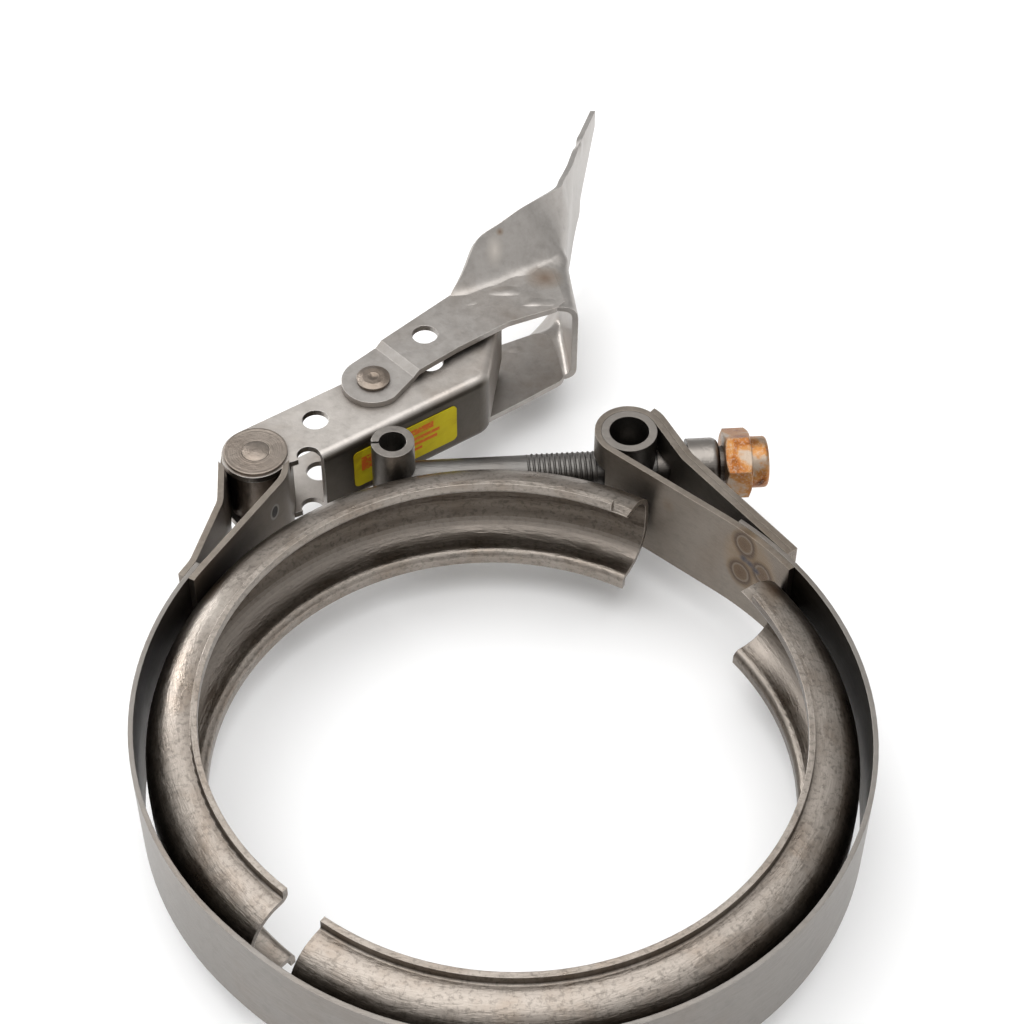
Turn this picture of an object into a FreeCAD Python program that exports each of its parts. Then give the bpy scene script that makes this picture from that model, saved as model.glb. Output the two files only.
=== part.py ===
import FreeCAD, Part
import math
import os

V = FreeCAD.Vector
UP = V(0, 0, 1)
doc = FreeCAD.newDocument("v_band_clamp")
sheet = doc.addObject("Spreadsheet::Sheet", "Sizes")


# Sizes in millimetres and degrees

def size(name, value):
    """Writes one named size on the sheet and gives it back."""
    row = len(sheet.getUsedCells()) // 2 + 1
    sheet.set(f"A{row}", name)
    sheet.set(f"B{row}", str(value))
    sheet.setAlias(f"B{row}", name)
    return value


def place(name, x, y, z=0.0):
    """Writes one named point on the sheet and gives it back."""
    return V(size(name + "_x", x), size(name + "_y", y), size(name + "_z", z))


BAND_RADIUS = size("band_radius", 57.15)
BAND_SHEET = size("band_sheet", 0.8)
BAND_WIDTH = size("band_width", 19.05)
SPREAD = size("spread_angle", 4.78)
HINGE_AZIMUTH = size("hinge_azimuth", 231.3)
BRIDGE_HALF_ANGLE = size("bridge_half_angle", 5.3)
LEFT_BAND_END = size("left_band_end", 149.8)
RIGHT_BAND_END = size("right_band_end", 48.0)
PLY_GAP = size("ply_gap", 0.05)
LOOP_SHEET = size("loop_sheet", 1.1)
LEFT_LEAF_END = size("left_leaf_end", 153.4)
LEFT_LEAF_LIFT = size("left_leaf_lift", 149.5)
LEAF_BEND = size("leaf_bend", 6.0)
LEAF_LIFT_RUN = size("leaf_lift_run", 1.6)
LEFT_KNEE = place("left_knee", -4.8, -13.5)
RIGHT_KNEE = place("right_knee", 9.35, -6.3)
RIGHT_KNEE_WAY = size("right_knee_way", 33.0)
RIGHT_LEAF_END = size("right_leaf_end", 37.7)
INNER_LEAF_END = size("inner_leaf_end", 34.5)
LEFT_LEAF_SPREAD = size("left_leaf_spread", 2.0)
LEAF_END_RUN = size("leaf_end_run", 0.3)
DOUBLER_WRAP = size("doubler_wrap", 24.0)

RETAINER_SHEET = size("retainer_sheet", 1.0)
LIP_RADIUS = size("lip_radius", 46.3)
LIP_HEIGHT = size("lip_height", 10.3)
SHOULDER_HEIGHT = size("shoulder_height", 8.0)
ROOT_BEND = size("root_bend", 6.2)
LIP_BEND = size("lip_bend", 0.9)
LEFT_RETAINER_START = size("left_retainer_start", 61.0)
LEFT_RETAINER_END = size("left_retainer_end", 230.0)
RIGHT_RETAINER_START = size("right_retainer_start", 233.5)
RIGHT_RETAINER_END = size("right_retainer_end", 396.2)
LIP_TRIM_ANGLE = size("lip_trim_angle", 3.6)

PIVOT_X = size("pivot_x", -41.8)
PIVOT_Y = size("pivot_y", 56.0)
PIN_RADIUS = size("pin_radius", 2.4)
RUNNING_GAP = size("running_gap", 0.05)
BUSHING_RADIUS = size("bushing_radius", 5.1)
WASHER_RADIUS = size("washer_radius", 5.55)
WASHER_SHEET = size("washer_sheet", 0.5)
DOME_HEIGHT = size("dome_height", 0.35)
LOOP_NARROW = size("loop_narrow", 11.3)
NARROW_RADIUS = size("narrow_radius", 7.3)

LINK_ANGLE = size("link_angle", 35.0)
LINK_SHEET = size("link_sheet", 1.2)
LINK_HEIGHT = size("link_height", 14.4)
LINK_EAR = size("link_ear", 6.0)
LINK_WEB = size("link_web", 7.5)
LINK_WEB_START = size("link_web_start", 9.3)
LINK_WEB_END = size("link_web_end", 44.0)
LINK_LENGTH = size("link_length", 56.2)
LINK_BEND = size("link_bend", 4.0)
FOLD_OUTSIDE = size("fold_outside", 1.7)
FOLD_INSIDE = size("fold_inside", 0.5)
NOTCH_RADIUS = size("notch_radius", 2.0)
NOTCH_DEPTH = size("notch_depth", 5.6)
LOCK_HOLE = size("lock_hole", 2.35)
LOCK_HOLE_U = size("lock_hole_u", 12.8)
LOCK_HOLE_V = size("lock_hole_v", 1.0)
FAR_HOLE_U = size("far_hole_u", 37.6)
FAR_HOLE_V = size("far_hole_v", 1.75)
LABEL_START = size("label_start", 15.2)
LABEL_END = size("label_end", 37.0)
LABEL_WIDTH = size("label_width", 8.6)
LABEL_SHEET = size("label_sheet", 0.15)
LABEL_CORNER = size("label_corner", 1.0)

JOINT_U = size("joint_u", 26.0)
JOINT_V = size("joint_v", 2.6)
RIVET_RADIUS = size("rivet_radius", 2.0)
RIVET_HEAD = size("rivet_head", 3.0)
RIVET_HEAD_HEIGHT = size("rivet_head_height", 0.9)
RIVET_RIM_HEIGHT = size("rivet_rim_height", 0.55)
RIVET_CUP_DEPTH = size("rivet_cup_depth", 0.27)

HANDLE_ANGLE = size("handle_angle", 44.0)
HANDLE_SHEET = size("handle_sheet", 1.2)
HANDLE_EAR = size("handle_ear", 5.75)
STEP_START = size("step_start", 5.7)
STEP_LENGTH = size("step_length", 1.4)
STEP_RISE = size("step_rise", 0.95)
HANDLE_HOLE_S = size("handle_hole_s", 13.9)
HANDLE_HOLE_T = size("handle_hole_t", 1.6)
TAB_SHEET = size("tab_sheet", 1.12)
TAB_BEND = size("tab_bend", 2.6)
TAB_POINTS = size("tab_points", 40)
TAB_STEPS = size("tab_steps", 24)
EASE_STEPS = size("ease_steps", 6)
ARM_BEND = size("arm_bend", 3.0)
HANDLE_END = size("handle_end", 60.0)
EAR_TOE = place("ear_toe", 5.7, -4.4)
LOWER_ARM_HIP = place("lower_arm_hip", 12.0, -6.5)
LOWER_ARM_BELLY = place("lower_arm_belly", 17.6, -9.0)
LOWER_ARM_SHIN = place("lower_arm_shin", 26.6, -10.3)
LOWER_ARM_TOE = place("lower_arm_toe", 37.5, -11.6)
UPPER_ARM_HIP = place("upper_arm_hip", 16.2, -5.0)
UPPER_ARM_SHIN = place("upper_arm_shin", 27.3, -6.4)
UPPER_ARM_TOE = place("upper_arm_toe", 36.0, -9.6)
ARM_HEEL = place("arm_heel", 44.2, 0.4)
ARM_BACK = place("arm_back", 25.4, 6.2)
WALL_FOOT = place("wall_foot", 14.4, 91.5)
WALL_WAIST = place("wall_waist", 12.3, 108.0)
WALL_MIDDLE = place("wall_middle", 13.7, 127.0)
TAB_TIP = place("tab_tip", 18.8, 158.0, 2.0)
FOLD_START = place("fold_start", -9.5, 91.5)
FOLD_BEND = place("fold_bend", -7.0, 94.5)
FOLD_END = place("fold_end", 12.3, 106.0)
ARM_MIDDLE = LINK_HEIGHT / 2 + RUNNING_GAP + STEP_RISE + HANDLE_SHEET / 2
WING_LIFT = size("wing_lift", 0.1)
WING_START = place("wing_start", -11.0, 91.5, ARM_MIDDLE)
WING_RISE = place("wing_rise", -8.6, 94.5, ARM_MIDDLE + WING_LIFT)
WING_FLANK = place("wing_flank", -4.2, 102.5, 15.5)
WING_CREST = place("wing_crest", 4.0, 108.9, 18.0)
WING_SHOULDER = place("wing_shoulder", 11.0, 116.2, 16.9)
WING_SLOPE = place("wing_slope", 13.5, 127.0, 13.3)
WING_POINT = place("wing_point", 15.6, 141.0, 8.2)

TRUNNION_X = size("trunnion_x", 23.4)
TRUNNION_Y = size("trunnion_y", 59.9)
TRUNNION_RADIUS = size("trunnion_radius", 4.9)
TRUNNION_BORE = size("trunnion_bore", 3.5)
TRUNNION_HEIGHT = size("trunnion_height", 19.0)
BOLT_ANGLE = size("bolt_angle", 4.5)
BOLT_RADIUS = size("bolt_radius", 3.175)
BOLT_GAP = size("bolt_gap", 0.07)
HEAD_REACH = size("head_reach", 41.4)
THREAD_START = size("thread_start", 17.9)
SHANK_FLAT = size("shank_flat", 4.6)
BOLT_CHAMFER = size("bolt_chamfer", 0.6)
BOLT_END = size("bolt_end", 24.6)
HEAD_RADIUS = size("head_radius", 3.8)
HEAD_BORE = size("head_bore", 2.4)
HEAD_HEIGHT = size("head_height", 19.4)
HEAD_SPLIT = size("head_split", 0.5)
NECK_START = size("neck_start", 5.1)
NECK_RADIUS = size("neck_radius", 3.7)
SLEEVE_START = size("sleeve_start", 10.6)
SLEEVE_END = size("sleeve_end", 16.3)
SLEEVE_RADIUS = size("sleeve_radius", 4.75)
SLEEVE_ROUND = size("sleeve_round", 1.4)
NUT_FLATS = size("nut_flats", 11.1)
NUT_START = size("nut_start", 17.0)
NUT_LENGTH = size("nut_length", 4.7)
COLLAR_RADIUS = size("collar_radius", 4.6)
COLLAR_END = size("collar_end", 24.9)
COLLAR_ROUND = size("collar_round", 0.7)
BOLT_SLOT = size("bolt_slot", 8.2)
WINDOW_LENGTH = size("window_length", 10.0)
WINDOW_INSET = size("window_inset", 2.4)


# Points, runs of sheet and outlines

def polar(radius, azimuth, centre=V(0, 0, 0)):
    """The point at this radius and azimuth about a centre."""
    angle = math.radians(azimuth)
    return V(centre.x + radius * math.cos(angle), centre.y + radius * math.sin(angle), 0)


def azimuth_of(vector):
    return math.degrees(math.atan2(vector.y, vector.x))


def run(start, end):
    """A straight segment."""
    return ("line", start, end)


def turn(centre, radius, start, end):
    """An arc from one azimuth to another, anticlockwise when the end is larger."""
    return ("arc", centre, radius, start, end)


def bent_run(points, radii):
    """Straight runs between points, with a bend of the given radius at each inner point."""
    segments = []
    start = points[0]
    for before, corner, after, radius in zip(points, points[1:], points[2:], radii):
        arriving = (corner - before).normalize()
        leaving = (after - corner).normalize()
        way = 1 if arriving.cross(leaving).z > 0 else -1
        angle = arriving.getAngle(leaving)
        reach = radius * math.tan(angle / 2)
        first = corner - arriving * reach
        centre = first + V(-arriving.y, arriving.x, 0) * radius * way
        begin = azimuth_of(first - centre)
        segments.append(run(start, first))
        segments.append(turn(centre, radius, begin, begin + way * math.degrees(angle)))
        start = corner + leaving * reach
    segments.append(run(start, points[-1]))
    return segments


def beside(segment, distance):
    """The same segment moved to its left by a distance."""
    if segment[0] == "line":
        along = (segment[2] - segment[1]).normalize()
        shift = V(-along.y, along.x, 0) * distance
        return run(segment[1] + shift, segment[2] + shift)
    way = 1 if segment[4] > segment[3] else -1
    return turn(segment[1], segment[2] - way * distance, segment[3], segment[4])


def start_of(segment):
    return segment[1] if segment[0] == "line" else polar(segment[2], segment[3], segment[1])


def end_of(segment):
    return segment[2] if segment[0] == "line" else polar(segment[2], segment[4], segment[1])


def curve(segment):
    if segment[0] == "line":
        return Part.LineSegment(segment[1], segment[2])
    low, high = sorted((math.radians(segment[3]), math.radians(segment[4])))
    return Part.ArcOfCircle(Part.Circle(segment[1], UP, segment[2]), low, high)


def sheet_outline(path, sheet_size):
    """The closed outline of a bent sheet whose middle follows the path."""
    left = [beside(part, sheet_size / 2) for part in path]
    right = [beside(part, -sheet_size / 2) for part in path]
    ends = [run(start_of(left[0]), start_of(right[0])), run(end_of(left[-1]), end_of(right[-1]))]
    return [curve(part) for part in left + right + ends]


def closed_outline(points, radii):
    """A closed outline with a rounded corner at each point."""
    middle = (points[-1] + points[0]) * 0.5
    return [curve(part) for part in bent_run([middle] + points + [middle], radii)]


def polygon(points):
    return [Part.LineSegment(a, b) for a, b in zip(points, points[1:] + points[:1])]


def rectangle(low_x, low_y, high_x, high_y):
    return polygon([V(low_x, low_y, 0), V(high_x, low_y, 0), V(high_x, high_y, 0), V(low_x, high_y, 0)])


def circle(radius, x=0.0, y=0.0):
    return [Part.Circle(V(x, y, 0), UP, radius)]


def tangent_azimuth(point, centre, radius, side):
    """Azimuth about the centre where the line from a point touches the circle."""
    towards = centre - point
    return azimuth_of(towards) + side * (90 + math.degrees(math.asin(radius / towards.Length)))


# Bodies and their features

def turned(x, y, angle):
    return FreeCAD.Placement(V(x, y, 0), FreeCAD.Rotation(UP, angle))


def new_body(name, placement=FreeCAD.Placement()):
    body = doc.addObject("PartDesign::Body", name)
    body.Label = name
    body.Placement = placement
    return body


def draw(body, name, outline, plane, offset):
    """Draws an outline on one of the body's own planes, moved along its normal."""
    sketch = body.newObject("Sketcher::SketchObject", name)
    origin_plane = [f for f in body.Origin.OriginFeatures if f.Role == plane][0]
    sketch.AttachmentSupport = [(origin_plane, "")]
    sketch.MapMode = "FlatFace"
    sketch.AttachmentOffset = FreeCAD.Placement(V(0, 0, offset), FreeCAD.Rotation())
    sketch.addGeometry(outline, False)
    return sketch


def both_ways(body, kind, name, outline, length, plane="XY_Plane", offset=0.0):
    """Adds a pad or pocket of a total length, half on each side of its sketch."""
    sketch = draw(body, name + "_sketch", outline, plane, offset)
    feature = body.newObject("PartDesign::" + kind, name)
    feature.Profile = sketch
    feature.SideType = "Symmetric"
    feature.setExpression("Length", length)
    sketch.Visibility = False
    return feature


def pad(body, name, outline, length, plane="XY_Plane", offset=0.0):
    return both_ways(body, "Pad", name, outline, length, plane, offset)


def pocket(body, name, outline, length, plane="XY_Plane", offset=0.0):
    return both_ways(body, "Pocket", name, outline, length, plane, offset)


def spin(body, kind, name, outline, axis="H_Axis", plane="XY_Plane"):
    """Adds or cuts a full turn of an outline about an axis of its own sketch."""
    sketch = draw(body, name + "_sketch", outline, plane, 0)
    feature = body.newObject("PartDesign::" + kind, name)
    feature.Profile = sketch
    feature.ReferenceAxis = (sketch, [axis])
    feature.Angle = 360
    sketch.Visibility = False
    return feature


def round_fold(body, radius_name, point):
    """Rounds the edge through a point and its twin below, with all that runs on from them."""
    doc.recompute()
    tip = body.Tip
    names = []
    for i, edge in enumerate(tip.Shape.Edges):
        for at in (point, V(point.x, point.y, -point.z)):
            if edge.distToShape(Part.Vertex(at))[0] < RUNNING_GAP / 2:
                names.append(f"Edge{i + 1}")
    feature = body.newObject("PartDesign::Fillet", radius_name)
    feature.Base = (tip, names)
    feature.setExpression("Radius", f"Sizes.{radius_name}")
    return feature


# Places shared by several pieces

BAND_MIDDLE = BAND_RADIUS - BAND_SHEET / 2
HINGE = polar(BAND_MIDDLE, HINGE_AZIMUTH)
RIGHT_CENTRE = HINGE - FreeCAD.Rotation(UP, -SPREAD).multVec(HINGE)
PIVOT = V(PIVOT_X, PIVOT_Y, 0)
TRUNNION = V(TRUNNION_X, TRUNNION_Y, 0)
LINK_PLACE = turned(PIVOT_X, PIVOT_Y, LINK_ANGLE)
JOINT = LINK_PLACE.multVec(V(JOINT_U, JOINT_V, 0))
HANDLE_PLACE = turned(JOINT.x, JOINT.y, HANDLE_ANGLE)
BOLT_PLACE = turned(TRUNNION_X, TRUNNION_Y, BOLT_ANGLE)
RIGHT_PLACE = turned(RIGHT_CENTRE.x, RIGHT_CENTRE.y, 0)
OUTER_LEAF = BAND_RADIUS + PLY_GAP + LOOP_SHEET / 2
INNER_LEAF = BAND_RADIUS - BAND_SHEET - PLY_GAP - LOOP_SHEET / 2
RETAINER_BACK = INNER_LEAF - LOOP_SHEET / 2 - PLY_GAP
HANDLE_OUTER = LINK_HEIGHT / 2 + RUNNING_GAP + HANDLE_SHEET + STEP_RISE


# Outer band, sprung open about a point on its far side

def make_band():
    half = RIGHT_CENTRE * 0.5
    back = half.Length / math.tan(math.radians(BRIDGE_HALF_ANGLE))
    bridge_centre = half - polar(back, azimuth_of(RIGHT_CENTRE) - 90)
    bridge_radius = BAND_MIDDLE + bridge_centre.Length
    first = azimuth_of(V(0, 0, 0) - bridge_centre)
    second = azimuth_of(RIGHT_CENTRE - bridge_centre)
    start, end = sorted((first % 360, second % 360))
    path = [turn(V(0, 0, 0), BAND_MIDDLE, LEFT_BAND_END, start),
            turn(bridge_centre, bridge_radius, start, end),
            turn(RIGHT_CENTRE, BAND_MIDDLE, end, 360 + RIGHT_BAND_END)]
    body = new_body("outer_band")
    pad(body, "band_strap", sheet_outline(path, BAND_SHEET), "Sizes.band_width")
    return body


# Retainers: one stamped section turned about the ring's axis

def retainer_outline():
    lip = LIP_RADIUS + RETAINER_SHEET / 2
    root = RETAINER_BACK - RETAINER_SHEET / 2
    upper = [V(lip, LIP_HEIGHT, 0), V(lip, SHOULDER_HEIGHT, 0), V(root, SHOULDER_HEIGHT, 0)]
    lower = [V(point.x, -point.y, 0) for point in reversed(upper)]
    bends = [LIP_BEND, ROOT_BEND]
    return sheet_outline(bent_run(upper + lower, bends + bends[::-1]), RETAINER_SHEET)


def make_retainer(name, centre, start, end, trim_side):
    """One retainer, its upper lip cut away over the last few degrees at one end."""
    body = new_body(name, turned(centre.x, centre.y, (start + end) / 2))
    sketch = draw(body, name + "_section", retainer_outline(), "XZ_Plane", 0)
    feature = body.newObject("PartDesign::Revolution", name + "_turn")
    feature.Profile = sketch
    feature.ReferenceAxis = (sketch, ["V_Axis"])
    feature.Midplane = True
    feature.Angle = end - start
    sketch.Visibility = False
    inside = LIP_RADIUS - RETAINER_SHEET
    outside = LIP_RADIUS + 2 * RETAINER_SHEET
    near = trim_side * ((end - start) / 2 - LIP_TRIM_ANGLE)
    far = trim_side * ((end - start) / 2 + LIP_TRIM_ANGLE)
    trim = polygon([polar(inside, near), polar(outside, near), polar(outside, far), polar(inside, far)])
    bottom = SHOULDER_HEIGHT + RETAINER_SHEET / 2
    pocket(body, name + "_lip_trim", trim, "2 * (Sizes.lip_height - Sizes.shoulder_height)",
           offset=bottom + LIP_HEIGHT - SHOULDER_HEIGHT)
    return body


# Loops: straps folded round a barrel, their leaves on both sides of the band

def make_pivot_loop():
    bend = BUSHING_RADIUS + RUNNING_GAP + LOOP_SHEET / 2
    outer_end = LEFT_LEAF_LIFT + LEFT_LEAF_SPREAD
    outer_start = polar(OUTER_LEAF, outer_end)
    outer_lift = outer_start + polar(LEAF_LIFT_RUN, outer_end - 90)
    outer_knee = PIVOT + LEFT_KNEE
    touch = tangent_azimuth(outer_knee, PIVOT, bend, 1)
    inner_start = polar(INNER_LEAF, LEFT_LEAF_LIFT)
    inner_way = polar(1, LEFT_LEAF_LIFT - 90)
    inner_side = PIVOT + V(bend, 0, 0)
    inner_knee = inner_start + inner_way * ((inner_side.x - inner_start.x) / inner_way.x)
    path = [turn(V(0, 0, 0), OUTER_LEAF, LEFT_LEAF_END, outer_end)]
    path += bent_run([outer_start, outer_lift, outer_knee, polar(bend, touch, PIVOT)], [LEAF_BEND] * 2)
    path += [turn(PIVOT, bend, touch, 0)]
    path += bent_run([inner_side, inner_knee, inner_start], [LEAF_BEND])
    path += [turn(V(0, 0, 0), INNER_LEAF, LEFT_LEAF_LIFT, LEFT_LEAF_END)]
    body = new_body("pivot_loop")
    pad(body, "pivot_loop_strap", sheet_outline(path, LOOP_SHEET), "Sizes.band_width")
    for side in (1, -1):
        middle = side * (BAND_WIDTH / 2 + LOOP_NARROW / 2) / 2
        pocket(body, f"narrow_{'upper' if side > 0 else 'lower'}", circle(NARROW_RADIUS, PIVOT_X, PIVOT_Y),
               "(Sizes.band_width - Sizes.loop_narrow) / 2", offset=middle)
    return body


def bolt_window(body, name, x):
    """Cuts the window through which the bolt passes a strap."""
    across = rectangle(x, -BOLT_SLOT / 2, x + WINDOW_LENGTH, BOLT_SLOT / 2)
    shift = body.Placement.inverse().multiply(BOLT_PLACE)
    moved = [Part.LineSegment(shift.multVec(e.StartPoint), shift.multVec(e.EndPoint)) for e in across]
    pocket(body, name, moved, "Sizes.bolt_slot")


def outer_leaf_path(beyond):
    """The outer leaf of the right loop, moved outward by a distance."""
    centre = TRUNNION - RIGHT_CENTRE
    bend = TRUNNION_RADIUS + RUNNING_GAP + LOOP_SHEET / 2 + beyond
    knee = centre + RIGHT_KNEE + polar(beyond, RIGHT_KNEE_WAY)
    touch = tangent_azimuth(knee, centre, bend, -1)
    leaf = OUTER_LEAF + beyond
    lift = tangent_azimuth(knee, V(0, 0, 0), leaf, 1) % 360
    return centre, bend, touch, knee, leaf, lift


def make_trunnion_loop():
    centre, bend, touch, knee, leaf, lift = outer_leaf_path(0)
    gap = azimuth_of(centre)
    inner_lift = gap - math.degrees(math.acos((INNER_LEAF + bend) / centre.Length))
    inner_touch = inner_lift + 180
    path = [turn(V(0, 0, 0), INNER_LEAF, INNER_LEAF_END, inner_lift)]
    path += [run(polar(INNER_LEAF, inner_lift), polar(bend, inner_touch, centre))]
    path += [turn(centre, bend, inner_touch, touch % 360)]
    path += bent_run([polar(bend, touch, centre), knee, polar(leaf, lift)], [LEAF_BEND])
    path += [turn(V(0, 0, 0), leaf, lift, min(RIGHT_LEAF_END, lift - LEAF_END_RUN))]
    body = new_body("trunnion_loop", RIGHT_PLACE)
    pad(body, "trunnion_loop_strap", sheet_outline(path, LOOP_SHEET), "Sizes.band_width")
    bolt_window(body, "bolt_window_left", WINDOW_INSET - TRUNNION_RADIUS - WINDOW_LENGTH)
    bolt_window(body, "bolt_window_right", TRUNNION_RADIUS - WINDOW_INSET)
    return body


def make_doubler():
    beyond = LOOP_SHEET + PLY_GAP
    centre, bend, touch, knee, leaf, lift = outer_leaf_path(beyond)
    path = [turn(centre, bend, touch + DOUBLER_WRAP, touch)]
    path += bent_run([polar(bend, touch, centre), knee, polar(leaf, lift)], [LEAF_BEND - beyond])
    path += [turn(V(0, 0, 0), leaf, lift, min(RIGHT_LEAF_END, lift - LEAF_END_RUN))]
    body = new_body("trunnion_loop_doubler", RIGHT_PLACE)
    pad(body, "doubler_strap", sheet_outline(path, LOOP_SHEET), "Sizes.band_width")
    bolt_window(body, "doubler_window", TRUNNION_RADIUS - WINDOW_INSET)
    return body


# Link: a stamped channel that turns on the pivot pin

def make_link():
    body = new_body("link", LINK_PLACE)
    wall_way = V(LINK_LENGTH - LINK_WEB_END, LINK_EAR + LINK_WEB, 0).normalize()
    wall_in = V(-wall_way.y, wall_way.x, 0) * LINK_SHEET
    notch = V(LINK_WEB_START - NOTCH_RADIUS, -NOTCH_DEPTH, 0)
    web_end = V(LINK_WEB_END, -LINK_WEB, 0)
    web_side = V(LINK_WEB_START, -LINK_WEB, 0)
    corner = V(LINK_LENGTH, LINK_EAR, 0)
    ear_low = polar(LINK_EAR, 300)
    edge = bent_run([web_side, web_end, corner], [LINK_BEND])
    edge += [run(corner, V(0, LINK_EAR, 0))]
    edge += [turn(V(0, 0, 0), LINK_EAR, 90, 300)]
    edge += [run(ear_low, notch - V(NOTCH_RADIUS, 0, 0))]
    edge += [turn(notch, NOTCH_RADIUS, 180, 0)]
    edge += [run(notch + V(NOTCH_RADIUS, 0, 0), web_side)]
    pad(body, "link_blank", [curve(part) for part in edge], "Sizes.link_height")
    inner_end = web_end + V(0, LINK_SHEET, 0) + V((wall_in.x * wall_way.y - wall_in.y * wall_way.x
                                                   + LINK_SHEET * wall_way.x) / wall_way.y, 0, 0)
    beyond = inner_end + wall_way * (LINK_LENGTH / 2)
    hollow = bent_run([V(LINK_WEB_START, -LINK_WEB + LINK_SHEET, 0), inner_end, beyond],
                      [LINK_BEND - LINK_SHEET])
    far = V(-2 * LINK_EAR, beyond.y, 0)
    near = V(-2 * LINK_EAR, -2 * LINK_EAR, 0)
    under = V(LINK_WEB_START, -2 * LINK_EAR, 0)
    hollow += [run(beyond, far), run(far, near), run(near, under), run(under, start_of(hollow[0]))]
    pocket(body, "link_hollow", [curve(part) for part in hollow], "Sizes.link_height - 2 * Sizes.link_sheet")
    middle = LINK_WEB_START + (LINK_WEB_END - LINK_WEB_START) / 2
    round_fold(body, "fold_outside", V(middle, -LINK_WEB, LINK_HEIGHT / 2))
    round_fold(body, "fold_inside", V(middle, LINK_SHEET - LINK_WEB, LINK_HEIGHT / 2 - LINK_SHEET))
    holes = circle(PIN_RADIUS + RUNNING_GAP) + circle(RIVET_RADIUS + RUNNING_GAP, JOINT_U, JOINT_V)
    holes += circle(LOCK_HOLE, LOCK_HOLE_U, LOCK_HOLE_V) + circle(LOCK_HOLE, FAR_HOLE_U, FAR_HOLE_V)
    pocket(body, "link_holes", holes, "2 * Sizes.link_height")
    return body


def make_label():
    body = new_body("yellow_label", LINK_PLACE)
    half = LABEL_WIDTH / 2
    corners = [V(LABEL_START, -half, 0), V(LABEL_END, -half, 0), V(LABEL_END, half, 0), V(LABEL_START, half, 0)]
    pad(body, "label_film", closed_outline(corners, [LABEL_CORNER] * 4), "Sizes.label_sheet",
        "XZ_Plane", LINK_WEB + LABEL_SHEET / 2)
    return body


# Pivot pin with its bushing and washers

def make_pin():
    body = new_body("pivot_pin", turned(PIVOT_X, PIVOT_Y, 0))
    top = LINK_HEIGHT / 2 + WASHER_SHEET
    dome = (PIN_RADIUS ** 2 + DOME_HEIGHT ** 2) / (2 * DOME_HEIGHT)
    angle = math.degrees(math.asin(PIN_RADIUS / dome))
    crown = turn(V(0, top + DOME_HEIGHT - dome, 0), dome, 90 - angle, 90)
    foot = turn(V(0, -top - DOME_HEIGHT + dome, 0), dome, 270, 270 + angle)
    outline = [crown, foot, run(start_of(crown), end_of(foot)), run(end_of(crown), start_of(foot))]
    spin(body, "Revolution", "pin_turn", [curve(part) for part in outline], "V_Axis", "XZ_Plane")
    return body


def make_bushing():
    body = new_body("pivot_bushing", turned(PIVOT_X, PIVOT_Y, 0))
    rings = circle(BUSHING_RADIUS) + circle(PIN_RADIUS + RUNNING_GAP)
    pad(body, "bushing_tube", rings, "Sizes.link_height - 2 * Sizes.link_sheet - 4 * Sizes.running_gap")
    return body


def make_washer(name, side):
    body = new_body(name, turned(PIVOT_X, PIVOT_Y, 0))
    rings = circle(WASHER_RADIUS) + circle(PIN_RADIUS + RUNNING_GAP)
    pad(body, name + "_disc", rings, "Sizes.washer_sheet", offset=side * (LINK_HEIGHT + WASHER_SHEET) / 2)
    return body


def make_rivet(name, side):
    """A headed rivet through the handle's ear and the link's flange."""
    body = new_body(name, FreeCAD.Placement(JOINT, FreeCAD.Rotation(V(1, 0, 0), 0 if side > 0 else 180)))
    seat = LINK_HEIGHT / 2 + RUNNING_GAP + HANDLE_SHEET + RUNNING_GAP
    inside = LINK_HEIGHT / 2 - LINK_SHEET
    tail = inside - RIVET_HEAD_HEIGHT / 2
    cup = RIVET_RADIUS / 2
    outline = [V(0, tail, 0), V(RIVET_HEAD, tail, 0), V(RIVET_HEAD, inside, 0), V(RIVET_RADIUS, inside, 0),
               V(RIVET_RADIUS, seat, 0), V(RIVET_HEAD, seat, 0),
               V(RIVET_HEAD, seat + RIVET_RIM_HEIGHT, 0), V(RIVET_RADIUS, seat + RIVET_HEAD_HEIGHT, 0),
               V(cup, seat + RIVET_HEAD_HEIGHT, 0), V(0, seat + RIVET_HEAD_HEIGHT - RIVET_CUP_DEPTH, 0)]
    spin(body, "Revolution", name + "_turn", polygon(outline), "V_Axis", "XZ_Plane")
    return body


# Handle: two arms joined by an end wall that unfolds into the finger tab

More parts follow.
